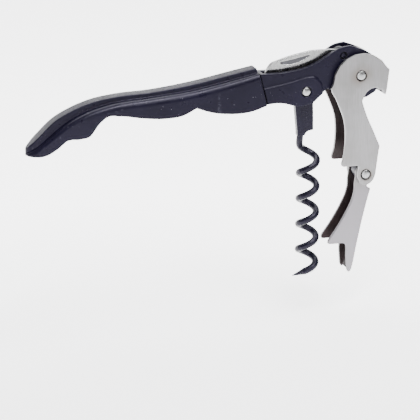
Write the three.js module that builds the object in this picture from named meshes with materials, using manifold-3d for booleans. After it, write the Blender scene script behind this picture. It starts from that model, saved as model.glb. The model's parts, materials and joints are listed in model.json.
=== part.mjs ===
// Waiter's corkscrew with a two-step lever, in millimetres, drawn as it is used: worm pointing down.
// The origin is the worm's pivot, on the plane of symmetry Y = 0. +Z runs up along the worm's axis,
// +X points from the grip to the levers, and +Y points to the back of the tool.
import * as THREE from 'three';
import { mergeVertices } from 'three/addons/utils/BufferGeometryUtils.js';
import Module from 'manifold-3d';

const wasm = await Module();
wasm.setup();

// ---- driving dimensions ----
const CLEARANCE = 0.3;        // running gap between pieces that touch
const SHEET = 1.0;            // pressed steel of the handle
const LEVER_SHEET = 1.3;      // steel of the upper lever
const STEP_SHEET = 1.2;       // steel of the step lever
const ROUND_STEPS = 28;       // facets of a full circle
const CURVE_STEPS = 4;        // facets between two points of a curved outline

const WORM_PIVOT = [0, 0];            // X and Z of each pivot, all parallel to Y
const LEVER_PIVOT = [18.7, 4.65];
const STEP_PIVOT = [21.0, -29.7];
const KNIFE_PIVOT = [13.0, 11.3];

const RIDGE_HALF = 2.7;       // raised ridge along the grip's spine
const CHEEK_HALF = 3.5;       // outside of the head's upper zone, which holds the blade
const PANEL_HALF = 4.0;       // outside of the head's lower zone, pressed proud around the worm
const LEVER_INSIDE = PANEL_HALF + 0.35;
const LEVER_HALF = LEVER_INSIDE + LEVER_SHEET;
const STEP_HALF = LEVER_INSIDE - CLEARANCE;
const STEP_INSIDE = STEP_HALF - STEP_SHEET;

const HEAD_END = [19.0, 4.25];        // centre of the head's round end
const HEAD_END_RADIUS = 7.95;
const SLOT_END_X = 18.4;              // where the open top of the head closes again
const HEAD_START_X = -14.6;           // where the grip ends and the narrower head begins
const HEM_INSIDE = 1.45;              // inside of the folded edges beside the blade
const HEM_END_X = 9.8;

const BLADE_HALF = 0.65;
const SHANK_HALF = 1.2;
const EYE_RADIUS = 3.0;
const WIRE_RADIUS = 1.2;
const HELIX = { axisX: 2.1, radius: 3.0, top: -16.4, pitch: 9, turns: 4.85, lead: 3.2 };

const WORM_RIVET_RADIUS = 1.4;
const LEVER_RIVET_RADIUS = 1.55;
const STEP_RIVET_RADIUS = 1.5;
const KNIFE_RIVET_RADIUS = 0.9;
const RIVET_GAP = 0.35;

// ---- materials ----
const finish = (color, roughness, metalness) =>
  new THREE.MeshStandardMaterial({ color, roughness, metalness });
const BLACK_ENAMEL = [0x1b1b26, 0.38, 0.3];
const BRUSHED_STEEL = [0xb9b9bd, 0.42, 0.9];
const POLISHED_STEEL = [0xd2d3d2, 0.25, 1.0];
const BLACK_COATING = [0x20202c, 0.3, 0.4];
const WASHER_NYLON = [0x2c2c2e, 0.6, 0.0];

// ---- solids from three.js geometry ----
function solid(geometry) {
  geometry.deleteAttribute('normal');
  geometry.deleteAttribute('uv');
  const merged = mergeVertices(geometry, 1e-4);
  const vertProperties = new Float32Array(merged.attributes.position.array);
  const triVerts = new Uint32Array(merged.index.array);
  return new wasm.Manifold(new wasm.Mesh({ numProp: 3, vertProperties, triVerts }));
}

function geometryOf(manifold) {
  const cut = manifold.getMesh();
  const geometry = new THREE.BufferGeometry();
  geometry.setAttribute('position', new THREE.BufferAttribute(new Float32Array(cut.vertProperties), 3));
  geometry.setIndex(new THREE.BufferAttribute(new Uint32Array(cut.triVerts), 1));
  geometry.computeVertexNormals();
  return geometry;
}

const points = (pairs) => pairs.map(([x, z]) => new THREE.Vector2(x, z));

// A side outline, X to the right and Z up, made solid between two values of Y.
function plate(shape, yLow, yHigh) {
  const geometry = new THREE.ExtrudeGeometry(shape, {
    depth: yHigh - yLow, bevelEnabled: false, curveSegments: CURVE_STEPS,
  });
  geometry.rotateX(Math.PI / 2);
  geometry.translate(0, yHigh, 0);
  return solid(geometry);
}

const bothSides = (shape, inside, outside) =>
  plate(shape, inside, outside).add(plate(shape, -outside, -inside));

// A plan outline, X to the right and Y to the back, made solid between two heights.
function slab(shape, zLow, zHigh) {
  const geometry = new THREE.ExtrudeGeometry(shape, {
    depth: zHigh - zLow, bevelEnabled: false, curveSegments: CURVE_STEPS,
  });
  geometry.translate(0, 0, zLow);
  return solid(geometry);
}

function block(xLow, xHigh, yLow, yHigh, zLow, zHigh) {
  const geometry = new THREE.BoxGeometry(xHigh - xLow, yHigh - yLow, zHigh - zLow);
  geometry.translate((xLow + xHigh) / 2, (yLow + yHigh) / 2, (zLow + zHigh) / 2);
  return solid(geometry);
}

// A round bar along Y.
function bar([x, z], radius, yLow, yHigh) {
  const geometry = new THREE.CylinderGeometry(radius, radius, yHigh - yLow, ROUND_STEPS);
  geometry.translate(x, (yLow + yHigh) / 2, z);
  return solid(geometry);
}

// A rivet along Y with chamfered ends.
function rivet([x, z], radius, halfLength) {
  const chamfer = 0.2;
  const side = [
    [0, -halfLength], [radius - chamfer, -halfLength], [radius, chamfer - halfLength],
    [radius, halfLength - chamfer], [radius - chamfer, halfLength], [0, halfLength],
  ];
  const geometry = new THREE.LatheGeometry(points(side), ROUND_STEPS);
  geometry.translate(x, 0, z);
  return solid(geometry);
}

const ring = (centre, inside, outside, yLow, yHigh) =>
  bar(centre, outside, yLow, yHigh).subtract(bar(centre, inside, yLow - 1, yHigh + 1));

// ---- grip: a steel channel, open below, with a raised ridge along its spine ----
const SPINE = [
  [-15.0, 7.75], [-26, 5.5], [-40, 3.0], [-54, 1.7], [-67, 0.5], [-74, -1.3], [-80.5, -4.3],
  [-87, -9.1], [-91, -12.4],
];
const RIDGE_TOP = [
  [-17.3, 8.75], [-25, 7.4], [-38.4, 4.9], [-52, 3.2], [-65.5, 2.4], [-72.2, 1.3], [-79, -1.0],
  [-85.6, -4.6], [-90.6, -9.2], [-94.6, -13.2],
];
const UNDERSIDE = [
  [-92.6, -15.4], [-88.5, -14.9], [-84.6, -12.6], [-81.8, -10.4], [-77.5, -10.0], [-74.2, -9.2],
  [-71.2, -5.4], [-68.6, -3.3], [-64, -3.3], [-56, -4.6], [-48, -5.2], [-43, -4.6],
];
const THUMB_CUSP = [-38.4, -2.5];
const BELLY = [[-34, -4.1], [-27, -5.3], [-19.5, -5.1], [-14.1, -3.4]];
const GRIP_HALF_WIDTH = [[-13, 4.9], [-22, 5.4], [-42, 5.8], [-64, 6.1], [-80, 5.7], [-89, 4.8]];

function gripSide() {
  const shape = new THREE.Shape();
  shape.moveTo(-16.9, 7.95);
  shape.splineThru(points(SPINE.slice(1)));
  shape.lineTo(-94.6, -13.6);
  shape.quadraticCurveTo(-94.6, -15.2, ...UNDERSIDE[0]);
  shape.splineThru(points(UNDERSIDE.slice(1).concat([THUMB_CUSP])));
  shape.splineThru(points(BELLY));
  shape.lineTo(-16.9, 7.95);
  return shape;
}

function gripInside() {
  const roof = SPINE.map(([x, z]) => [x, z - SHEET]);
  const shape = new THREE.Shape();
  shape.moveTo(-13, -30);
  shape.lineTo(-13, roof[0][1] + 0.4);
  shape.lineTo(...roof[0]);
  shape.splineThru(points(roof.slice(1)));
  shape.lineTo(-93.2, -15);
  shape.lineTo(-93.2, -30);
  shape.closePath();
  return shape;
}

function gripPlan(inset) {
  const flank = GRIP_HALF_WIDTH.map(([x, y]) => [x, y - inset]);
  const nose = [[-93.2 + inset, 3.2 - inset / 2], [-95.2 + inset, 0]];
  const shape = new THREE.Shape();
  shape.moveTo(...flank[0]);
  shape.splineThru(points([...flank.slice(1), ...nose]));
  const mirrored = [...flank, nose[0]].reverse().map(([x, y]) => [x, -y]);
  shape.splineThru(points(mirrored));
  shape.closePath();
  return shape;
}

function ridgeSide(drop) {
  const under = [...SPINE].reverse().map(([x, z]) => [x, z - drop]);
  const shape = new THREE.Shape();
  shape.moveTo(RIDGE_TOP[0][0], RIDGE_TOP[0][1] - drop);
  shape.splineThru(points(RIDGE_TOP.slice(1).map(([x, z]) => [x, z - drop])));
  shape.lineTo(-94.4, -14.2 - drop);
  shape.lineTo(under[0][0], under[0][1] - 2);
  shape.splineThru(points(under.slice(1, -1)));
  shape.lineTo(-17.1, 7.0 - drop);
  shape.closePath();
  return shape;
}

function grip() {
  const shell = plate(gripSide(), -10, 10).intersect(slab(gripPlan(0), -40, 40));
  const hollow = plate(gripInside(), -10, 10).intersect(slab(gripPlan(SHEET), -40, 40));
  const ridge = plate(ridgeSide(0), -RIDGE_HALF, RIDGE_HALF);
  const ridgeHollow = plate(ridgeSide(SHEET), SHEET - RIDGE_HALF, RIDGE_HALF - SHEET)
    .intersect(block(-90, -10, -5, 5, -40, 40));
  return shell.add(ridge).subtract(hollow).subtract(ridgeHollow);
}

// ---- head: two cheeks that hold the worm, the blade and the lever ----
const HEAD_TOP = [[-5.9, 7.1], [-2.4, 7.6], [1.1, 8.5], [4.6, 10.0], [8, 12.0], [11.5, 14.0], [15.2, 14.7]];
const HEAD_CREST = [[19.6, 13.1], [21.8, 12.0], [23.9, 10.5]];

function headSide() {
  const shape = new THREE.Shape();
  shape.moveTo(-16.5, 6.9);
  shape.lineTo(-9.3, 6.8);
  shape.splineThru(points(HEAD_TOP));
  shape.splineThru(points(HEAD_CREST));
  shape.absarc(...HEAD_END, HEAD_END_RADIUS, 0.9, -2.56, true);
  shape.quadraticCurveTo(9.5, -0.6, 7.2, 0.5);
  shape.lineTo(2.1, -4.1);
  shape.splineThru(points([[-1.5, -4.7], [-4.6, -4.4], [-7.7, -3.5], [-11, -3.2], [-16.5, -3.7]]));
  shape.closePath();
  return shape;
}

function headPanel(inset) {
  const shape = new THREE.Shape();
  shape.moveTo(-16.5, 1.7 - inset);
  shape.lineTo(-13, 2.2 - inset);
  shape.splineThru(points([[-6, 3.4 - inset], [-0.5, 4.7 - inset], [2.6 - inset, 4.8 - inset]]));
  shape.quadraticCurveTo(4.2 - inset, 4.3 - inset, 5.2 - inset, 2.1);
  shape.lineTo(5.8 - inset, -0.75);
  shape.lineTo(2.1, -4.1);
  shape.splineThru(points([[-1.5, -4.7], [-4.6, -4.4], [-7.7, -3.5], [-11, -3.2], [-16.5, -3.7]]));
  shape.closePath();
  return shape;
}

function head() {
  const walls = plate(headSide(), -CHEEK_HALF, CHEEK_HALF);
  const panel = plate(headPanel(0), -PANEL_HALF, PANEL_HALF);
  const cheekInside = CHEEK_HALF - SHEET;
  const panelInside = PANEL_HALF - SHEET;
  const hems = block(HEAD_START_X - 1, HEM_END_X, -5, 5, -20, 30)
    .subtract(plate(headSide(), -6, 6).translate(0, 0, -2.4))
    .subtract(block(-30, 30, -HEM_INSIDE, HEM_INSIDE, -30, 40));
  const slot = block(HEAD_START_X, SLOT_END_X, -cheekInside, cheekInside, -20, 30).subtract(hems);
  const roundHollow = bar(HEAD_END, HEAD_END_RADIUS - SHEET, -cheekInside, cheekInside);
  const mouth = block(SLOT_END_X - 1, 30, -cheekInside, cheekInside, -20, 1);
  const panelHollow = plate(headPanel(SHEET), -panelInside, panelInside)
    .add(block(-20, 2.1, -panelInside, panelInside, -20, -2));
  return walls.add(panel).subtract(slot).subtract(roundHollow).subtract(mouth).subtract(panelHollow);
}

function handleBody() {
  const holes = [
    [WORM_PIVOT, WORM_RIVET_RADIUS], [LEVER_PIVOT, LEVER_RIVET_RADIUS], [KNIFE_PIVOT, KNIFE_RIVET_RADIUS],
  ];
  let body = head().add(grip());
  body = body.subtract(block(-18.5, HEAD_START_X + 0.1, -2.5, 2.5, -20, 6.6));
  for (const [centre, radius] of holes) {
    body = body.subtract(bar(centre, radius + RIVET_GAP, -20, 20));
  }
  return body;
}

// ---- knife: a short blade folded into the head's open top ----
const BLADE_BACK = [[-11.6, 9.5], [-9.4, 10.4], [-4.5, 11.8], [2.5, 13.1], [9, 13.85]];
const BLADE_EDGE = [[6.5, 7.9], [0, 5.7], [-8, 4.3], [-14.2, 4.1]];
const TANG_RADIUS = 2.7;

function bladeSide() {
  const [pivotX, pivotZ] = KNIFE_PIVOT;
  const shape = new THREE.Shape();
  shape.moveTo(-14.2, 4.1);
  shape.splineThru(points([[-13.3, 6.9], ...BLADE_BACK]));
  shape.lineTo(pivotX, pivotZ + TANG_RADIUS);
  shape.absarc(pivotX, pivotZ, TANG_RADIUS, Math.PI / 2, -2.2, true);
  shape.splineThru(points(BLADE_EDGE.slice(0, -1)));
  shape.closePath();
  return shape;
}

// The nail nick is a shallow crescent in the front face.
function nailNick() {
  const shape = new THREE.Shape();
  shape.moveTo(-8.4, 9.9);
  shape.quadraticCurveTo(-3, 10.5, 2.4, 11.9);
  shape.quadraticCurveTo(-2.5, 8.2, -6.6, 9.0);
  shape.quadraticCurveTo(-7.8, 9.2, -8.4, 9.9);
  return plate(shape, -BLADE_HALF - 1, 0.3 - BLADE_HALF);
}

function knifeBlade() {
  return plate(bladeSide(), -BLADE_HALF, BLADE_HALF)
    .subtract(bar(KNIFE_PIVOT, KNIFE_RIVET_RADIUS + CLEARANCE, -5, 5))
    .subtract(nailNick());
}

// ---- worm: a flat forged shank that runs into a right-hand helix of round wire ----
class WormPath extends THREE.Curve {
  getPoint(t, target = new THREE.Vector3()) {
    const straight = 0.04;
    const turn = Math.max(0, t - straight) / (1 - straight) * HELIX.turns;
    const rise = Math.min(t / straight, 1);
    const angle = Math.PI - 2 * Math.PI * turn;
    const settle = HELIX.lead * (1 - Math.exp(-14 * turn));
    return target.set(
      HELIX.axisX + HELIX.radius * Math.cos(angle),
      HELIX.radius * Math.sin(angle),
      HELIX.top + 3 * (1 - rise) - HELIX.pitch * turn - settle,
    );
  }
}

function wormWire() {
  const steps = 105;
  const section = new THREE.Shape().absarc(0, 0, WIRE_RADIUS, 0, 2 * Math.PI, false);
  const wire = new THREE.ExtrudeGeometry(section, {
    steps, curveSegments: 5, bevelEnabled: false, extrudePath: new WormPath(),
  });
  return solid(wire);
}

function wormTip() {
  const path = new WormPath();
  const end = path.getPoint(1);
  const along = path.getTangent(1);
  const length = 5;
  const cone = new THREE.CylinderGeometry(0.12, WIRE_RADIUS * 0.98, length, 10);
  cone.translate(0, length / 2 - 0.3, 0);
  const turn = new THREE.Quaternion().setFromUnitVectors(new THREE.Vector3(0, 1, 0), along);
  cone.applyQuaternion(turn);
  cone.translate(end.x, end.y, end.z);
  return solid(cone);
}

function shankSide() {
  const shape = new THREE.Shape();
  shape.moveTo(-2.9, -0.6);
  shape.lineTo(-3.1, -4.4);
  shape.lineTo(-2.2, -13.5);
  shape.lineTo(-2.1, -15.6);
  shape.lineTo(0.5, -15.6);
  shape.quadraticCurveTo(0.7, -14.0, 3.5, -13.9);
  shape.lineTo(3.3, -4.5);
  shape.lineTo(2.6, -1.4);
  shape.closePath();
  return shape;
}

function corkscrewWorm() {
  return plate(shankSide(), -SHANK_HALF, SHANK_HALF)
    .add(bar(WORM_PIVOT, EYE_RADIUS, -SHANK_HALF, SHANK_HALF))
    .add(wormWire())
    .add(wormTip())
    .subtract(bar(WORM_PIVOT, WORM_RIVET_RADIUS + CLEARANCE, -5, 5));
}

// ---- upper lever: a steel channel with the bottle opener, the upper step and the hinge lug ----
const LEVER_CROWN = { x: 18.9, z: 2.15, radius: 10.05 };
const SHELF_Z = -26.4;

function upperLeverSide() {
  const shape = new THREE.Shape();
  shape.absarc(LEVER_CROWN.x, LEVER_CROWN.z, LEVER_CROWN.radius, 3.12, 0.5, true);
  shape.lineTo(28.6, 6.3);
  shape.lineTo(27.75, -0.9);
  shape.lineTo(27.4, -2.25);
  shape.lineTo(26.95, -2.25);
  shape.splineThru(points([[26.4, -0.95], [25.6, -0.5], [25.0, -0.6]]));
  shape.splineThru(points([[24.4, 0.1], [22.6, 0.1], [21.0, -0.8], [19.85, -2.3], [19.1, -4.1]]));
  shape.splineThru(points([[20.1, -7.2], [21.5, -10.8], [23.2, -14.4], [25.7, -20.1]]));
  shape.lineTo(25.4, -21.6);
  shape.lineTo(24.4, -29.8);
  shape.splineThru(points([[23.6, -31.7], [22.2, -33.0], [20.4, -33.4], [18.7, -32.4], [18.05, -30.6]]));
  shape.quadraticCurveTo(18.05, -29.0, 18.5, -27.6);
  shape.quadraticCurveTo(18.5, SHELF_Z, 17.5, SHELF_Z);
  shape.lineTo(13.0, SHELF_Z);
  shape.quadraticCurveTo(11.9, SHELF_Z, 12.3, -24.9);
  shape.splineThru(points([
    [13.0, -22.3], [13.4, -17.8], [13.3, -13.6], [12.75, -10.1], [11.5, -6.6], [9.8, -2.7], [8.7, -0.9],
    [8.2, 1.1],
  ]));
  shape.closePath();
  return shape;
}

function noseWeb() {
  const shape = new THREE.Shape(points([
    [27.75, 6.95], [28.6, 6.3], [27.75, -0.9], [27.4, -2.25], [26.95, -2.25], [26.85, -1.3], [27.75, 6.3],
  ]));
  return plate(shape, -LEVER_HALF, LEVER_HALF);
}

function backWeb() {
  const shape = new THREE.Shape(points([
    [25.1, -18.8], [25.7, -20.1], [25.4, -21.6], [24.92, -25.5], [23.6, -25.5], [24.0, -21.6],
    [24.2, -20.3], [23.9, -19.3],
  ]));
  return plate(shape, -LEVER_HALF, LEVER_HALF);
}

function upperLever() {
  return bothSides(upperLeverSide(), LEVER_INSIDE, LEVER_HALF)
    .add(noseWeb())
    .add(backWeb())
    .subtract(bar(LEVER_PIVOT, LEVER_RIVET_RADIUS + RIVET_GAP, -20, 20))
    .subtract(bar(STEP_PIVOT, STEP_RIVET_RADIUS + RIVET_GAP, -20, 20));
}

// ---- step lever: a narrower channel hinged to the upper lever ----
const RIM_SHELF_Z = -53.9;
const STEP_BACK = [[23.3, -35.2], [21.9, -40.3], [20.5, -46.2], [18.8, -54.3], [17.7, -60.3], [17.0, -63.3]];

function stepLeverSide() {
  const shape = new THREE.Shape();
  shape.absarc(...STEP_PIVOT, 3.1, -0.8, Math.PI * 1.05, false);
  shape.splineThru(points([
    [17.6, -33.0], [17.5, -35.6], [16.7, -38.8], [15.1, -42.2], [13.2, -45.6], [11.1, -48.9], [8.6, -52.4],
  ]));
  shape.quadraticCurveTo(8.0, RIM_SHELF_Z, 9.0, RIM_SHELF_Z);
  shape.lineTo(13.6, RIM_SHELF_Z);
  shape.quadraticCurveTo(15.0, RIM_SHELF_Z, 15.0, -55.8);
  shape.splineThru(points([[15.0, -58.5], [15.4, -63.6]]));
  shape.quadraticCurveTo(16.0, -65.4, 17.0, -63.3);
  shape.splineThru(points([...STEP_BACK].reverse().slice(1)));
  shape.lineTo(22.1, -34.8);
  shape.quadraticCurveTo(21.6, -33.3, 23.15, -31.93);
  return shape;
}

function stepWeb() {
  const inner = STEP_BACK.map(([x, z]) => [x - STEP_SHEET, z - 0.25]).reverse();
  const shape = new THREE.Shape(points([...STEP_BACK, ...inner]));
  return plate(shape, -STEP_HALF, STEP_HALF);
}

function stepLever() {
  return bothSides(stepLeverSide(), STEP_INSIDE, STEP_HALF)
    .add(stepWeb())
    .subtract(bar(STEP_PIVOT, STEP_RIVET_RADIUS + RIVET_GAP, -20, 20));
}

// ---- assembly ----
const group = new THREE.Group();

function place(name, manifold, [color, roughness, metalness]) {
  const mesh = new THREE.Mesh(geometryOf(manifold), finish(color, roughness, metalness));
  mesh.name = name;
  group.add(mesh);
}

// A pair of washers that keep a middle piece centred between two walls.
function placeWashers(name, centre, inside, outside, near, far) {
  place(`${name}_front`, ring(centre, inside, outside, -far, -near), WASHER_NYLON);
  place(`${name}_back`, ring(centre, inside, outside, near, far), WASHER_NYLON);
}

const sleeve = (centre, rivetRadius, halfLength) =>
  ring(centre, rivetRadius + CLEARANCE, rivetRadius + CLEARANCE + 0.8, -halfLength, halfLength);

place('handle_body', handleBody(), BLACK_ENAMEL);

place('knife_blade', knifeBlade(), POLISHED_STEEL);
place('knife_rivet', rivet(KNIFE_PIVOT, KNIFE_RIVET_RADIUS, CHEEK_HALF - 0.1), BLACK_COATING);
placeWashers('knife_washer', KNIFE_PIVOT, KNIFE_RIVET_RADIUS + CLEARANCE, 2.3,
  BLADE_HALF + CLEARANCE, CHEEK_HALF - SHEET - CLEARANCE);

place('corkscrew_worm', corkscrewWorm(), BLACK_COATING);
place('worm_rivet', rivet(WORM_PIVOT, WORM_RIVET_RADIUS, PANEL_HALF), POLISHED_STEEL);
placeWashers('worm_washer', WORM_PIVOT, WORM_RIVET_RADIUS + CLEARANCE, 2.7,
  SHANK_HALF + CLEARANCE, PANEL_HALF - SHEET - CLEARANCE);

place('upper_lever', upperLever(), BRUSHED_STEEL);
place('lever_rivet', rivet(LEVER_PIVOT, LEVER_RIVET_RADIUS, LEVER_HALF), POLISHED_STEEL);
place('lever_sleeve', sleeve(LEVER_PIVOT, LEVER_RIVET_RADIUS, CHEEK_HALF - SHEET - CLEARANCE),
  BLACK_COATING);

place('step_lever', stepLever(), BRUSHED_STEEL);
place('step_rivet', rivet(STEP_PIVOT, STEP_RIVET_RADIUS, LEVER_HALF), POLISHED_STEEL);
place('step_sleeve', sleeve(STEP_PIVOT, STEP_RIVET_RADIUS, STEP_INSIDE - CLEARANCE), BLACK_COATING);

export default group;
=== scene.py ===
# Looks of the waiter's corkscrew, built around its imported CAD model.
# Shapes are worked out in millimetres and placed in metres, in the CAD frame:
# origin at the worm's pivot, +Z up the worm, +X from the grip to the levers, +Y to the back.
import json
import math

import bmesh
import bpy
import numpy as np
from mathutils import Matrix, Vector


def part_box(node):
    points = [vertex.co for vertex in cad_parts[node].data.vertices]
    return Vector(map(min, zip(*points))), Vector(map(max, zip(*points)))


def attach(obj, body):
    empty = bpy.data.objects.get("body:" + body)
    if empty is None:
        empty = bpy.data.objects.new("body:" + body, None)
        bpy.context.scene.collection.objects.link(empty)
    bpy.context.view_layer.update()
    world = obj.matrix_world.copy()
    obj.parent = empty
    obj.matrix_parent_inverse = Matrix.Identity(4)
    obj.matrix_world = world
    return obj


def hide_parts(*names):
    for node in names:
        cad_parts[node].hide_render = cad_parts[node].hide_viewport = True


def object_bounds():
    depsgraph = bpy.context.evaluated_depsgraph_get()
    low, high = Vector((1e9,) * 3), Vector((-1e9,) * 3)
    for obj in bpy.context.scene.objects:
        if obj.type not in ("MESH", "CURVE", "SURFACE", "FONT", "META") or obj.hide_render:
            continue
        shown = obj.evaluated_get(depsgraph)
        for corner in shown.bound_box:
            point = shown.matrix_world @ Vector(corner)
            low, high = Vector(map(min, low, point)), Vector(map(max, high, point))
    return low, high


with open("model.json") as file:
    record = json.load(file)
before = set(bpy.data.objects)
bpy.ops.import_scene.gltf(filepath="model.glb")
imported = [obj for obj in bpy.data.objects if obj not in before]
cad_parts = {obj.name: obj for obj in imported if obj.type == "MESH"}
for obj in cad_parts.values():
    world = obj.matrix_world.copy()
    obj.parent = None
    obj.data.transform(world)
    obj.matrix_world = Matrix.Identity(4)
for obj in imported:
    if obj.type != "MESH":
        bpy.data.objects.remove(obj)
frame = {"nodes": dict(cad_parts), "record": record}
cad_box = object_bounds()
MM = 0.001


# ---- numbers read from the frame ----
def node_box(node):
    """Lowest and highest corner of a CAD node, in millimetres."""
    low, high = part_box(node)
    return np.array(low) / MM, np.array(high) / MM


def node_centre(node):
    low, high = node_box(node)
    return (low + high) / 2


def node_radius(node):
    low, high = node_box(node)
    return (high[0] - low[0]) / 2


PANEL_HALF = node_box("worm_rivet")[1][1]
LEVER_HALF = node_box("lever_rivet")[1][1]
LEVER_SHEET = 1.3


# ---- mesh tools ----
def new_object(name, mesh):
    obj = bpy.data.objects.new(name, mesh)
    bpy.context.scene.collection.objects.link(obj)
    return obj


def mesh_from(name, verts, faces):
    mesh = bpy.data.meshes.new(name)
    mesh.from_pydata([tuple(v) for v in verts], [], faces)
    mesh.validate()
    bm = bmesh.new()
    bm.from_mesh(mesh)
    bmesh.ops.recalc_face_normals(bm, faces=bm.faces)
    bm.to_mesh(mesh)
    bm.free()
    return new_object(name, mesh)


def cad_copy(node, name):
    """A millimetre-sized copy of a CAD node's mesh, with shared vertices merged."""
    mesh = frame["nodes"][node].data.copy()
    mesh.materials.clear()
    mesh.transform(Matrix.Scale(1 / MM, 4))
    bm = bmesh.new()
    bm.from_mesh(mesh)
    bmesh.ops.remove_doubles(bm, verts=bm.verts, dist=0.002)
    bm.to_mesh(mesh)
    bm.free()
    mesh.name = name
    return new_object(name, mesh)


def baked(obj):
    """Applies an object's modifiers to its mesh."""
    graph = bpy.context.evaluated_depsgraph_get()
    mesh = bpy.data.meshes.new_from_object(obj.evaluated_get(graph))
    obj.modifiers.clear()
    obj.data = mesh


def discard(*objects):
    for obj in objects:
        bpy.data.objects.remove(obj)


def cut(obj, tool, operation="DIFFERENCE"):
    mod = obj.modifiers.new("cut", "BOOLEAN")
    mod.operation = operation
    mod.solver = "EXACT"
    mod.object = tool
    baked(obj)
    discard(tool)
    return obj


def join(obj, *others):
    bm = bmesh.new()
    for part in (obj, *others):
        bm.from_mesh(part.data)
    bm.to_mesh(obj.data)
    bm.free()
    discard(*others)


def soften(obj, voxel, passes, faces):
    """Rounds every edge: a fine remesh, some smoothing, then fewer faces where it is flat."""
    remesh = obj.modifiers.new("remesh", "REMESH")
    remesh.mode = "VOXEL"
    remesh.voxel_size = voxel
    remesh.use_smooth_shade = True
    smooth = obj.modifiers.new("smooth", "SMOOTH")
    smooth.factor = 0.5
    smooth.iterations = passes
    baked(obj)
    count = 2 * len(obj.data.polygons)
    if count > faces:
        thin = obj.modifiers.new("thin", "DECIMATE")
        thin.ratio = faces / count
        baked(obj)
    return obj


def to_metres(obj, smooth_angle=None):
    obj.data.transform(Matrix.Scale(MM, 4))
    for polygon in obj.data.polygons:
        polygon.use_smooth = True
    if smooth_angle is not None:
        obj.data.set_sharp_from_angle(angle=math.radians(smooth_angle))
    return obj


def box_tool(low, high):
    xs, ys, zs = zip(low, high)
    corners = [(x, y, z) for x in xs for y in ys for z in zs]
    faces = [(0, 1, 3, 2), (4, 6, 7, 5), (0, 4, 5, 1), (2, 3, 7, 6), (0, 2, 6, 4), (1, 5, 7, 3)]
    return mesh_from("tool_box", corners, faces)


def side_tool(outline, half):
    """A side outline in X and Z, made solid from Y = -half to +half."""
    n = len(outline)
    verts = [(x, -half, z) for x, z in outline] + [(x, half, z) for x, z in outline]
    faces = [tuple(range(n)), tuple(range(2 * n - 1, n - 1, -1))]
    faces += [(i, (i + 1) % n, n + (i + 1) % n, n + i) for i in range(n)]
    return mesh_from("tool_side", verts, faces)


def lathe(name, centre, profile, steps=96):
    """A closed profile of (radius, y) points turned about an axis along Y."""
    n = len(profile)
    verts = []
    for k in range(steps):
        a = 2 * math.pi * k / steps
        verts += [(centre[0] + r * math.cos(a), y, centre[2] + r * math.sin(a)) for r, y in profile]
    faces = []
    for k in range(steps):
        m = (k + 1) % steps
        for i in range(n):
            j = (i + 1) % n
            if profile[i][0] > 0 or profile[j][0] > 0:
                faces.append((k * n + i, k * n + j, m * n + j, m * n + i))
    obj = mesh_from(name, verts, faces)
    bm = bmesh.new()
    bm.from_mesh(obj.data)
    bmesh.ops.remove_doubles(bm, verts=bm.verts, dist=0.001)
    bmesh.ops.recalc_face_normals(bm, faces=bm.faces)
    bm.to_mesh(obj.data)
    bm.free()
    return obj


def along(knots, xs):
    """A smooth curve through knots (x falling or rising), read at each x."""
    pts = sorted(knots)
    kx = np.array([p[0] for p in pts], float)
    kz = np.array([p[1] for p in pts], float)
    slope = np.gradient(kz, kx)
    xs = np.clip(xs, kx[0], kx[-1])
    i = np.clip(np.searchsorted(kx, xs) - 1, 0, len(kx) - 2)
    h = kx[i + 1] - kx[i]
    t = (xs - kx[i]) / h
    return ((2 * t**3 - 3 * t**2 + 1) * kz[i] + (t**3 - 2 * t**2 + t) * h * slope[i]
            + (3 * t**2 - 2 * t**3) * kz[i + 1] + (t**3 - t**2) * h * slope[i + 1])


# ---- the grip: a loft of the pressed channel's section ----
# Side views are (x, z) points: the shoulders beside the ridge, the ridge's top and the walls' feet.
# The feet run in finger curves up to the thumb cusp, and in one belly from there to the head.
SPINE = [(-13, 8.15), (-26, 5.5), (-40, 3.0), (-54, 1.7), (-67, 0.5), (-74, -1.3), (-80.5, -4.3),
         (-87, -9.1), (-91, -12.4), (-95.2, -15.2)]
RIDGE_TOP = [(-13, 9.6), (-25, 7.4), (-38.4, 4.9), (-52, 3.2), (-65.5, 2.4), (-72.2, 1.3), (-79, -1.0),
             (-85.6, -4.6), (-90.6, -9.2), (-95.2, -13.7)]
CUSP_X = -38.4
UNDERSIDE = [(-95.2, -15.3), (-92.6, -15.4), (-88.5, -14.9), (-84.6, -12.6), (-81.8, -10.4),
             (-77.5, -10.0), (-74.2, -9.2), (-71.2, -5.4), (-68.6, -3.3), (-64, -3.3), (-56, -4.6),
             (-48, -5.2), (-43, -4.6), (CUSP_X, -2.5)]
BELLY = [(CUSP_X, -2.5), (-34, -4.1), (-27, -5.3), (-19.5, -5.1), (-13, -3.2)]
HALF_WIDTH = [(-13, 4.9), (-22, 5.4), (-42, 5.8), (-64, 6.07), (-80, 5.7), (-89, 4.8), (-93.2, 3.2)]
NOSE_X, NOSE_START = -94.58, -89.0      # the grip's tip, and where its sides begin to round off
NOSE_LEAST = 0.4                        # half width that is left at the very tip
RIDGE_HALF = 2.7
RIDGE_LIP = 0.26                        # radius of the ridge's top edges
RIDGE_FOOT = (0.16, 0.12)               # width and height of the fillet at the ridge's foot
CORNER = 2.3                            # outer radius between a wall and its shoulder
CORNER_TURN = 0.42 * math.pi            # the corner's arc; the shoulder slopes on from its end
FULL_RIDGE = 4.6                        # half width below which the ridge narrows too
SHEET = 1.0
SEAM_TOP, SEAM_FOOT = (-16.9, 8.1), (-14.1, -3.4)   # the slanted edge where the grip meets the head
PANEL_BACK, PANEL_TOP = -16.4, 6.9      # the head's side panels, which reach in under the grip
CREST_BACK = -14.0                      # the head's top, above the panels, starts past the seam


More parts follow.
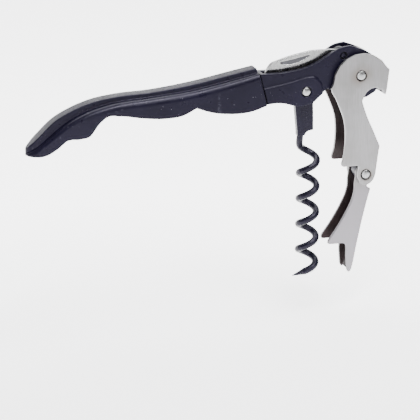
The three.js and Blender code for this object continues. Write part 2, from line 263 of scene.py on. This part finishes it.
def grip_measures(xs):
    """Shoulder height, ridge height, foot height and half width of the grip at each x."""
    spine = along(SPINE, xs)
    ridge = along(RIDGE_TOP, xs)
    under = np.where(xs < CUSP_X, along(UNDERSIDE, xs), along(BELLY, xs))
    width = along(HALF_WIDTH, xs)
    nose = np.clip((xs - NOSE_X) / (NOSE_START - NOSE_X), 0, 1)
    full = along(HALF_WIDTH, np.full_like(xs, NOSE_START))
    rounded = full * np.sqrt(np.clip(1 - (1 - nose) ** 2, 0, 1))
    width = np.where(xs < NOSE_START, rounded, width)
    return spine, ridge, under, np.maximum(width, NOSE_LEAST)


def section(spine, ridge, under, width, inset):
    """Half of the channel's section from the wall's foot to the ridge's middle, as (y, z)."""
    squeeze = min(1.0, width / FULL_RIDGE)
    wall = width - inset
    crown = (RIDGE_HALF - inset) * squeeze
    top = ridge - inset
    shoulder = spine - inset
    radius = min(CORNER - 0.6 * inset, 0.74 * (wall - crown))
    foot = under - 6 * inset            # the hollow runs out below the walls' feet
    pts = [(wall, foot + (shoulder - radius - foot) * t) for t in (0, 0.06, 0.3, 0.6, 0.85)]
    for a in np.linspace(0, CORNER_TURN, 9):
        pts.append((wall - radius + radius * math.cos(a), shoulder - radius + radius * math.sin(a)))
    # A small fillet at the ridge's foot, its upright side, its rounded edge and its crowned top.
    pts.append((crown + RIDGE_FOOT[0] * squeeze, shoulder))
    pts.append((crown + 0.02 * squeeze, shoulder + RIDGE_FOOT[1]))
    lip = RIDGE_LIP * squeeze
    pts.append((crown, shoulder + 0.5 * (top - shoulder)))
    for a in np.linspace(0, math.pi / 2, 5):
        pts.append((crown - lip + lip * math.cos(a), top - lip + lip * math.sin(a)))
    pts += [(crown * 0.5, top + 0.04 * squeeze), (0, top + 0.05 * squeeze)]
    return pts


def loft(name, xs, inset):
    """The grip's sections at each x, joined; inset shrinks them, for the hollow inside."""
    rings = []
    for x, spine, ridge, under, width in zip(xs, *grip_measures(xs)):
        half = section(spine, ridge, under, width, inset)
        full = half + [(-y, z) for y, z in reversed(half[:-1])]
        rings.append([(x, y, z) for y, z in full])
    n = len(rings[0])
    verts = [p for ring in rings for p in ring]
    faces = []
    for k in range(len(rings) - 1):
        for i in range(n):
            j = (i + 1) % n
            faces.append((k * n + i, k * n + j, (k + 1) * n + j, (k + 1) * n + i))
    faces.append(tuple(range(n)))
    faces.append(tuple(range(len(verts) - 1, len(verts) - n - 1, -1)))
    return mesh_from(name, verts, faces)


def build_handle():
    """The lofted grip, open below and cut off along its seam, with the CAD model's head."""
    sides = np.linspace(-12.0, NOSE_START, 190)
    nose = np.linspace(NOSE_START - 0.2, NOSE_X + 0.02, 26)
    grip = loft("handle", np.concatenate([sides, nose]), 0.0)
    cut(grip, loft("tool_inner", np.linspace(-11.0, NOSE_X + 2.2, 160), SHEET))
    past_seam = [SEAM_TOP, (-17.6, 12), (10, 12), (10, -20), (-10.2, -20), SEAM_FOOT]
    cut(grip, side_tool(past_seam, 12))

    far, overlap = 40, 0.1
    panel = PANEL_HALF + 0.01
    crest = cut(cad_copy("handle_body", "tool_crest"),
                box_tool((CREST_BACK, -6, PANEL_TOP), (far, 6, 30)), "INTERSECT")
    head = cut(cad_copy("handle_body", "tool_head"),
               box_tool((PANEL_BACK, -panel, -20), (far, panel, PANEL_TOP + overlap)), "INTERSECT")
    join(grip, head, crest)
    return soften(grip, voxel=0.17, passes=3, faces=190000)


# ---- materials: their places and lengths are in metres ----
RANGE_INPUTS = ("From Min", "From Max", "To Min", "To Max")
VIOLET_SHEEN = (0.86, 0.82, 1.0, 1.0)
STAIN_START = 0.0017                    # from a rivet's axis, under the edge of its head
HEAD_SHADOW_FADE = (0.0019, 0.0021)             # where the painted shadow around a rivet's head fades out


class Nodes:
    """Small helper that adds and links shader nodes."""

    def __init__(self, name):
        self.material = bpy.data.materials.new(name)
        self.material.use_nodes = True
        self.tree = self.material.node_tree
        self.shader = self.tree.nodes["Principled BSDF"]
        source = self.add("ShaderNodeTexCoord")
        self.coords = source.outputs["Object"]
        self.normal = source.outputs["Normal"]

    def add(self, kind, **values):
        node = self.tree.nodes.new(kind)
        for key, value in values.items():
            setattr(node, key, value)
        return node

    def link(self, source, target):
        self.tree.links.new(source, target)

    def stretched(self, scale, turn=(0, 0, 0)):
        node = self.add("ShaderNodeMapping")
        node.inputs["Scale"].default_value = scale
        node.inputs["Rotation"].default_value = turn
        self.link(self.coords, node.inputs["Vector"])
        return node.outputs["Vector"]

    def noise(self, vector, scale, detail=4.0, rough=0.55):
        node = self.add("ShaderNodeTexNoise")
        node.inputs["Scale"].default_value = scale
        node.inputs["Detail"].default_value = detail
        node.inputs["Roughness"].default_value = rough
        self.link(vector, node.inputs["Vector"])
        return node.outputs["Fac"]

    def ramp(self, source, stops):
        node = self.add("ShaderNodeValToRGB")
        ramp = node.color_ramp
        while len(ramp.elements) < len(stops):
            ramp.elements.new(0.5)
        for element, (place, colour) in zip(ramp.elements, stops):
            element.position = place
            element.color = (*colour, 1)
        self.link(source, node.inputs["Fac"])
        return node.outputs["Color"]

    def spread(self, source, low, high, from_low=0.0, from_high=1.0):
        """low where the source is from_low, high where it is from_high, and a straight line between."""
        node = self.add("ShaderNodeMapRange")
        for key, value in zip(RANGE_INPUTS, (from_low, from_high, low, high)):
            node.inputs[key].default_value = value
        self.link(source, node.inputs["Value"])
        return node.outputs["Result"]

    def window(self, source, rise, fall):
        """1 between two limits and 0 outside them; each limit is a short stretch of fading."""
        risen = self.spread(source, 0, 1, *rise)
        return self.maths("MULTIPLY", risen, self.spread(source, 1, 0, *fall))

    def bump(self, height, distance, strength):
        node = self.add("ShaderNodeBump")
        node.inputs["Distance"].default_value = distance
        node.inputs["Strength"].default_value = strength
        self.link(height, node.inputs["Height"])
        return node.outputs["Normal"]

    def mix(self, factor, a, b):
        node = self.add("ShaderNodeMix", data_type="RGBA")
        self.link(factor, node.inputs["Factor"])
        for socket, value in ((node.inputs[6], a), (node.inputs[7], b)):
            if isinstance(value, tuple):
                socket.default_value = (*value, 1)
            else:
                self.link(value, socket)
        return node.outputs[2]

    def axes(self, vector):
        node = self.add("ShaderNodeSeparateXYZ")
        self.link(vector, node.inputs["Vector"])
        return node.outputs

    def maths(self, operation, a, b=None):
        node = self.add("ShaderNodeMath", operation=operation)
        for socket, value in zip(node.inputs, (a, b)):
            if isinstance(value, (int, float)):
                socket.default_value = value
            elif value is not None:
                self.link(value, socket)
        return node.outputs[0]

    def set(self, **values):
        """Even values, straight on the shader's sockets."""
        for key, value in values.items():
            self.shader.inputs[key.replace("_", " ")].default_value = value


def enamel():
    """Satin black paint: violet tint, orange peel, dust, rubbed edges, and painted shade in the seam.
    """
    n = Nodes("black_enamel")
    cloud = n.noise(n.coords, 60, 3)
    tone = n.ramp(cloud, [(0.35, (0.0026, 0.0021, 0.0065)), (0.7, (0.0050, 0.0042, 0.0115))])
    edge = n.add("ShaderNodeNewGeometry").outputs["Pointiness"]
    rub = n.spread(edge, 0, 1, 0.53, 0.62)
    worn = n.maths("MULTIPLY", rub, n.spread(n.noise(n.coords, 1400, 5, 0.7), 0, 1, 0.45, 0.75))
    tone = n.mix(worn, tone, (0.05, 0.05, 0.065))
    dust = n.spread(n.noise(n.coords, 2600, 1, 0.4), 0, 0.6, 0.785, 0.81)
    tone = n.mix(dust, tone, (0.28, 0.28, 0.32))
    x, y, z = n.axes(n.coords)
    # Painted shade: a dark, less glossy strip on the head just past the seam, where the head goes in
    # under the grip's end.
    lean = (SEAM_FOOT[0] - SEAM_TOP[0]) / (SEAM_TOP[1] - SEAM_FOOT[1])
    seam_x = (SEAM_TOP[0] + lean * SEAM_TOP[1]) * MM        # where the seam's line crosses z = 0
    past = n.maths("SUBTRACT", n.maths("ADD", x, n.maths("MULTIPLY", z, lean)), seam_x)
    near = n.window(past, (-0.0001, 0.0), (0.0005, 0.0008))
    seam = n.maths("MULTIPLY", near, n.spread(n.maths("ABSOLUTE", y), 1, 0, 0.0042, 0.0046))
    n.link(n.mix(seam, tone, (0.0004, 0.0004, 0.0005)), n.shader.inputs["Base Color"])
    n.link(n.spread(seam, 0.17, 0.0), n.shader.inputs["Specular IOR Level"])
    n.link(n.spread(n.noise(n.coords, 300, 5), 0.25, 0.38, 0.3, 0.7), n.shader.inputs["Roughness"])
    n.link(n.bump(n.noise(n.coords, 1500, 2), 0.00003, 0.5), n.shader.inputs["Normal"])
    n.set(Specular_Tint=VIOLET_SHEEN)
    return n.material


def coating():
    """Smooth black low-friction coating of the worm, faintly clouded by use."""
    n = Nodes("black_coating")
    cloud = n.noise(n.coords, 140, 4)
    n.link(n.ramp(cloud, [(0.3, (0.0030, 0.0026, 0.0065)), (0.75, (0.0060, 0.0052, 0.0115))]),
           n.shader.inputs["Base Color"])
    n.link(n.spread(n.noise(n.coords, 700, 5), 0.22, 0.34, 0.3, 0.7), n.shader.inputs["Roughness"])
    n.link(n.bump(n.noise(n.coords, 900, 3), 0.00001, 0.2), n.shader.inputs["Normal"])
    n.set(Specular_IOR_Level=0.2, Specular_Tint=VIOLET_SHEEN)
    return n.material


def around(n, x, z, rivet, spill):
    """Two masks beside a rivet: a stain that spills out from it, and a painted shadow around its head,
    heaviest on its left side.
    """
    centre = node_centre(rivet) * MM
    across = n.maths("SUBTRACT", x, float(centre[0]))
    above = n.maths("SUBTRACT", z, float(centre[2]))
    square = n.maths("ADD", n.maths("MULTIPLY", across, across), n.maths("MULTIPLY", above, above))
    reach = n.maths("SQRT", square)
    stain = n.spread(reach, 0.7, 0, STAIN_START, spill)
    # Painted shadow: darker on the left of the head, as if lit from the right.
    shadow_side = n.spread(across, 1, 0.25, -0.0006, 0.0008)
    head_shadow = n.maths("MULTIPLY", n.spread(reach, 1, 0, *HEAD_SHADOW_FADE), shadow_side)
    return stain, head_shadow


def brushed():
    """Steel, brushed along its length outside. Inside its channels it keeps a dark brown scale."""
    n = Nodes("brushed_steel")
    grain = n.noise(n.stretched((1, 1, 0.035), (0, 0.1, 0)), 5200, 4, 0.65)
    soft = n.noise(n.coords, 90, 3)
    tone = n.ramp(grain, [(0.3, (0.24, 0.236, 0.24)), (0.72, (0.34, 0.336, 0.34))])
    steel = n.mix(n.spread(soft, 0, 0.6, 0.4, 0.7), tone, (0.20, 0.194, 0.19))
    x, y, z = n.axes(n.coords)
    nx, ny, _ = n.axes(n.normal)
    for rivet, spill in (("lever_rivet", 0.0048), ("step_rivet", 0.0026)):
        stain, head_shadow = around(n, x, z, rivet, spill)
        stain = n.maths("MULTIPLY", stain, n.spread(soft, 0.1, 1, 0.35, 0.65))
        steel = n.mix(stain, steel, (0.16, 0.13, 0.105))
        # Painted shadow around the rivet's head, mostly on its left.
        steel = n.mix(head_shadow, steel, (0.02, 0.018, 0.018))

    # The step lever, low down, has a cooler, slightly violet tone.
    cool = n.mix(soft, (0.245, 0.225, 0.255), (0.30, 0.28, 0.31))
    steel = n.mix(n.spread(z, 0.6, 0, -0.036, -0.033), steel, cool)

    # Scale lies on the cheeks' inner faces and, between the cheeks, on what faces the worm.
    # It is rubbed paler low in the upper lever's channel.
    inward = n.spread(n.maths("MULTIPLY", n.maths("SIGN", y), ny), 1, 0, -0.75, -0.45)
    between = n.spread(n.maths("ABSOLUTE", y), 1, 0, 0.0027, 0.0043)
    facing_in = n.spread(nx, 1, 0, -0.2, 0.5)
    scale = n.maths("MAXIMUM", inward, n.maths("MULTIPLY", between, facing_in))
    patch = n.noise(n.coords, 260, 5, 0.6)
    dark = n.ramp(patch, [(0.3, (0.008, 0.004, 0.0045)), (0.75, (0.022, 0.013, 0.014))])
    rubbed = n.maths("MULTIPLY", n.window(z, (-0.030, -0.028), (-0.0235, -0.0190)), 0.75)
    dark = n.mix(rubbed, dark, (0.050, 0.040, 0.040))
    n.link(n.mix(scale, steel, dark), n.shader.inputs["Base Color"])
    n.link(n.spread(scale, 1, 0), n.shader.inputs["Metallic"])
    rough = n.spread(grain, 0.30, 0.52, 0.3, 0.7)
    n.link(n.maths("MAXIMUM", rough, n.maths("MULTIPLY", scale, 0.6)), n.shader.inputs["Roughness"])
    n.link(n.spread(scale, 0.5, 0.2), n.shader.inputs["Specular IOR Level"])
    n.link(n.bump(grain, 0.000012, 0.7), n.shader.inputs["Normal"])
    n.set(Anisotropic=0.35)
    return n.material


def polished():
    """Ground, polished steel of the blade and rivets. The blade's nail nick is duller, and painted
    darker as shade in its groove.
    """
    n = Nodes("polished_steel")
    streak = n.noise(n.stretched((1, 1, 0.12), (0, 0.15, 0)), 3800, 4, 0.6)
    tone = n.ramp(streak, [(0.3, (0.30, 0.30, 0.30)), (0.7, (0.42, 0.42, 0.415))])
    x, y, z = n.axes(n.coords)
    sunk = n.window(y, (-0.00052, -0.00044), (-0.0003, -0.00025))
    high = n.maths("MULTIPLY", n.spread(z, 0, 1, 0.0083, 0.0086), n.spread(x, 1, 0, 0.004, 0.006))
    nick = n.maths("MULTIPLY", sunk, high)
    # Painted shade: the nail nick's groove is darkened in colour.
    n.link(n.mix(nick, tone, (0.12, 0.12, 0.13)), n.shader.inputs["Base Color"])
    smear = n.spread(n.noise(n.coords, 420, 5), 0.2, 0.32, 0.3, 0.7)
    n.link(n.maths("MAXIMUM", smear, n.maths("MULTIPLY", nick, 0.5)), n.shader.inputs["Roughness"])
    n.link(n.bump(streak, 0.000005, 0.4), n.shader.inputs["Normal"])
    n.set(Metallic=1.0)
    return n.material


def nylon():
    """Matte dark nylon of the washers."""
    n = Nodes("washer_nylon")
    n.link(n.ramp(n.noise(n.coords, 900, 4), [(0.3, (0.03, 0.03, 0.034)), (0.7, (0.06, 0.06, 0.066))]),
           n.shader.inputs["Base Color"])
    n.link(n.bump(n.noise(n.coords, 2600, 3), 0.00002, 0.6), n.shader.inputs["Normal"])
    n.set(Roughness=0.6)
    return n.material


MATERIALS = {
    "black_enamel": enamel(),
    "black_coating": coating(),
    "brushed_steel": brushed(),
    "polished_steel": polished(),
    "washer_nylon": nylon(),
}
SLOT_OF = {p["node"]: p["material_slot"] for p in frame["record"]["subparts"]}
BODIES = frame["record"]["behaviour"]["bodies"]
BODY_OF = {node: body for body, nodes in BODIES.items() for node in nodes}


def stand_for(obj, *nodes):
    """The piece takes a CAD node's place, body and material slot."""
    slot = SLOT_OF[nodes[0]]
    obj.data.materials.clear()
    obj.data.materials.append(MATERIALS[slot])
    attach(obj, BODY_OF[nodes[0]])
    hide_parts(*nodes)


# ---- pieces ----
def narrow_hole(obj, rivet, low, high):
    """Narrows the rivet's hole in a pair of cheeks, so that only a hairline shows around its head."""
    hairline, ring_width = 0.22, 0.48
    inside = node_radius(rivet) + hairline
    outside = inside + ring_width
    for side in (-1, 1):
        near, far = sorted((side * low, side * high))
        profile = [(inside, near), (outside, near), (outside, far), (inside, far)]
        join(obj, lathe("bush", node_centre(rivet), profile, steps=64))


def build_lever(node, rivets, faces):
    """A lever's folded sheet, with the holes of the named rivets narrowed in its cheeks."""
    plate = cad_copy(node, f"{node}_plate")
    sunk = 0.02
    for rivet in rivets:
        narrow_hole(plate, rivet, LEVER_HALF - LEVER_SHEET + sunk, LEVER_HALF - sunk)
    return soften(plate, voxel=0.16, passes=3, faces=faces)


def build_worm():
    """The forged worm, shank and helix in one."""
    return soften(cad_copy("corkscrew_worm", "worm"), voxel=0.14, passes=4, faces=90000)


def build_blade():
    """The blade, ground to a wedge along its edge, from full thickness to a share of it."""
    edge = [(8.5, 9.0), (6.5, 7.9), (0, 5.7), (-8, 4.3), (-14.2, 4.1)]
    heel, grind_height, edge_share, spine_top = 8.0, 3.4, 0.22, 13.15
    blade = soften(cad_copy("knife_blade", "blade"), voxel=0.1, passes=7, faces=60000)
    for vertex in blade.data.vertices:
        x, y, z = vertex.co
        height = max(0.0, z - float(along(edge, np.array([x]))[0]))
        if x < heel:
            vertex.co.y = y * min(1.0, edge_share + (1 - edge_share) * height / grind_height)
        vertex.co.z = min(z, spine_top)
    return blade


def rivet_head(node):
    """A rivet whose ends are pressed into low domes."""
    radius = node_radius(node)
    half = node_box(node)[1][1]
    height, turn = 0.32, 1.45
    dome = [(radius * math.sin(a), half - height * (1 - math.cos(a)) / (1 - math.cos(turn)))
            for a in np.linspace(0, turn, 9)]
    dome[-1] = (radius, half - height - 0.02)
    profile = [(r, -y) for r, y in dome] + [(r, y) for r, y in reversed(dome)]
    return lathe(f"{node}_turned", node_centre(node), profile)


def flat_ring(node, inside):
    """A washer or sleeve with lightly rounded rims."""
    low, high = node_box(node)
    radius = node_radius(node)
    rim = 0.12
    profile = [(inside + rim, low[1]), (radius - rim, low[1]), (radius, low[1] + rim),
               (radius, high[1] - rim), (radius - rim, high[1]), (inside + rim, high[1]),
               (inside, high[1] - rim), (inside, low[1] + rim)]
    return lathe(f"{node}_turned", node_centre(node), profile)


stand_for(to_metres(build_handle()), "handle_body")
upper = build_lever("upper_lever", ("lever_rivet", "step_rivet"), faces=130000)
stand_for(to_metres(upper), "upper_lever")
stand_for(to_metres(build_lever("step_lever", (), faces=90000)), "step_lever")
stand_for(to_metres(build_worm()), "corkscrew_worm")
stand_for(to_metres(build_blade()), "knife_blade")

SHARP_ANGLE = 35        # degrees; turned pieces keep their rims crisp
RING_GAP = 0.3          # between a pin and the washers and sleeve around it
for node in ("knife_rivet", "worm_rivet", "lever_rivet", "step_rivet"):
    stand_for(to_metres(rivet_head(node), SHARP_ANGLE), node)
for pivot, rings in (("knife", ("knife_washer_front", "knife_washer_back")),
                     ("worm", ("worm_washer_front", "worm_washer_back")),
                     ("lever", ("lever_sleeve",)), ("step", ("step_sleeve",))):
    for node in rings:
        ring = flat_ring(node, node_radius(f"{pivot}_rivet") + RING_GAP)
        stand_for(to_metres(ring, SHARP_ANGLE), node)


# ---- stage, light and camera, in metres ----
PAPER_FRONT, PAPER_BACK = 0.0, 3.0      # how brightly the sweep glows, near and far
WORLD_FRONT, WORLD_BACK = 0.20, 0.7     # how bright the room is, behind the camera and the object
FLOOR_BELOW = 0.012                     # the tool hovers by this much over the sweep


def paper():
    """White paper with a faint tooth. It glows more with depth, and less up its backdrop."""
    n = Nodes("white_paper")
    tooth = n.noise(n.coords, 900, 3)
    white = n.ramp(tooth, [(0.3, (0.84, 0.84, 0.85)), (0.8, (0.9, 0.9, 0.9))])
    n.link(white, n.shader.inputs["Base Color"])
    _, depth, height = n.axes(n.coords)
    glow = n.spread(depth, PAPER_FRONT, PAPER_BACK, -0.25, 0.15)
    glow = n.maths("MULTIPLY", glow, n.spread(height, 1, 0.22, 0.0, 0.3))
    n.link(glow, n.shader.inputs["Emission Strength"])
    n.set(Emission_Color=(1, 1, 1, 1), Roughness=0.9)
    return n.material


def stage_floor(level, width, depth, radius):
    """A floor that curves up into a backdrop, as a photographer's paper sweep does."""
    path = [(-depth, 0.0), (depth, 0.0)]
    for a in np.linspace(0, math.pi / 2, 13)[1:]:
        path.append((depth + radius * math.sin(a), radius * (1 - math.cos(a))))
    path.append((depth + radius, 6 * radius))
    verts = [(x, y, level + z) for x in (-width, width) for y, z in path]
    n = len(path)
    faces = [(i, i + 1, n + i + 1, n + i) for i in range(n - 1)]
    floor = mesh_from("floor", verts, faces)
    for polygon in floor.data.polygons:
        polygon.use_smooth = True
    floor.data.materials.append(paper())


def room():
    """An even, faintly blue surround, brighter behind the object than behind the camera."""
    world = bpy.data.worlds.new("studio")
    bpy.context.scene.world = world
    world.use_nodes = True
    tree = world.node_tree
    direction = tree.nodes.new("ShaderNodeTexCoord")
    parts = tree.nodes.new("ShaderNodeSeparateXYZ")
    tree.links.new(direction.outputs["Generated"], parts.inputs["Vector"])
    fade = tree.nodes.new("ShaderNodeMapRange")
    for key, value in zip(RANGE_INPUTS, (-0.5, 0.6, WORLD_FRONT, WORLD_BACK)):
        fade.inputs[key].default_value = value
    tree.links.new(parts.outputs["Y"], fade.inputs["Value"])
    tree.links.new(fade.outputs["Result"], tree.nodes["Background"].inputs["Strength"])
    tree.nodes["Background"].inputs["Color"].default_value = (0.93, 0.95, 1.0, 1)


def area_light(name, place, aim, size, power):
    """A rectangular lamp of this size (width and height) and power in watts, turned towards aim."""
    data = bpy.data.lights.new(name, "AREA")
    data.shape = "RECTANGLE"
    data.size, data.size_y = size
    data.energy = power
    light = bpy.data.objects.new(name, data)
    bpy.context.scene.collection.objects.link(light)
    light.location = place
    light.rotation_euler = (Vector(aim) - Vector(place)).to_track_quat("-Z", "Y").to_euler()


stage_floor(level=cad_box[0][2] - FLOOR_BELOW, width=1.6, depth=0.9, radius=0.5)
room()
area_light("key", (0.30, -0.50, 0.55), (0, 0, 0), (0.35, 0.3), 5)
area_light("front", (-0.25, -0.75, 0.05), (0, 0, -0.02), (0.5, 0.5), 3.4)
area_light("overhead", (0.12, -0.16, 0.62), (-0.02, 0, 0), (0.9, 0.16), 12)
area_light("top", (-0.05, 0.35, 0.65), (-0.03, 0, 0), (0.7, 0.35), 5)

AZIMUTH = math.radians(16.4)            # to the left of the object's front
ELEVATION = math.radians(17.0)
SENSOR = 36                             # millimetres
FOCAL_IN_FRAMES = 4.9381                # the lens's length, in widths of the frame
CAMERA_PLACE = (-0.21972, -0.63675, 0.16367)
right = Vector((math.cos(AZIMUTH), -math.sin(AZIMUTH), 0))
up = Vector((math.sin(AZIMUTH) * math.sin(ELEVATION), math.cos(AZIMUTH) * math.sin(ELEVATION),
             math.cos(ELEVATION)))
back = right.cross(up)

camera_data = bpy.data.cameras.new("camera")
camera_data.sensor_width = SENSOR
camera_data.lens = SENSOR * FOCAL_IN_FRAMES
camera_data.clip_start = 0.01
camera = bpy.data.objects.new("camera", camera_data)
bpy.context.scene.collection.objects.link(camera)
facing = Matrix((right, up, back)).transposed().to_4x4()
camera.matrix_world = Matrix.Translation(CAMERA_PLACE) @ facing
bpy.context.scene.camera = camera
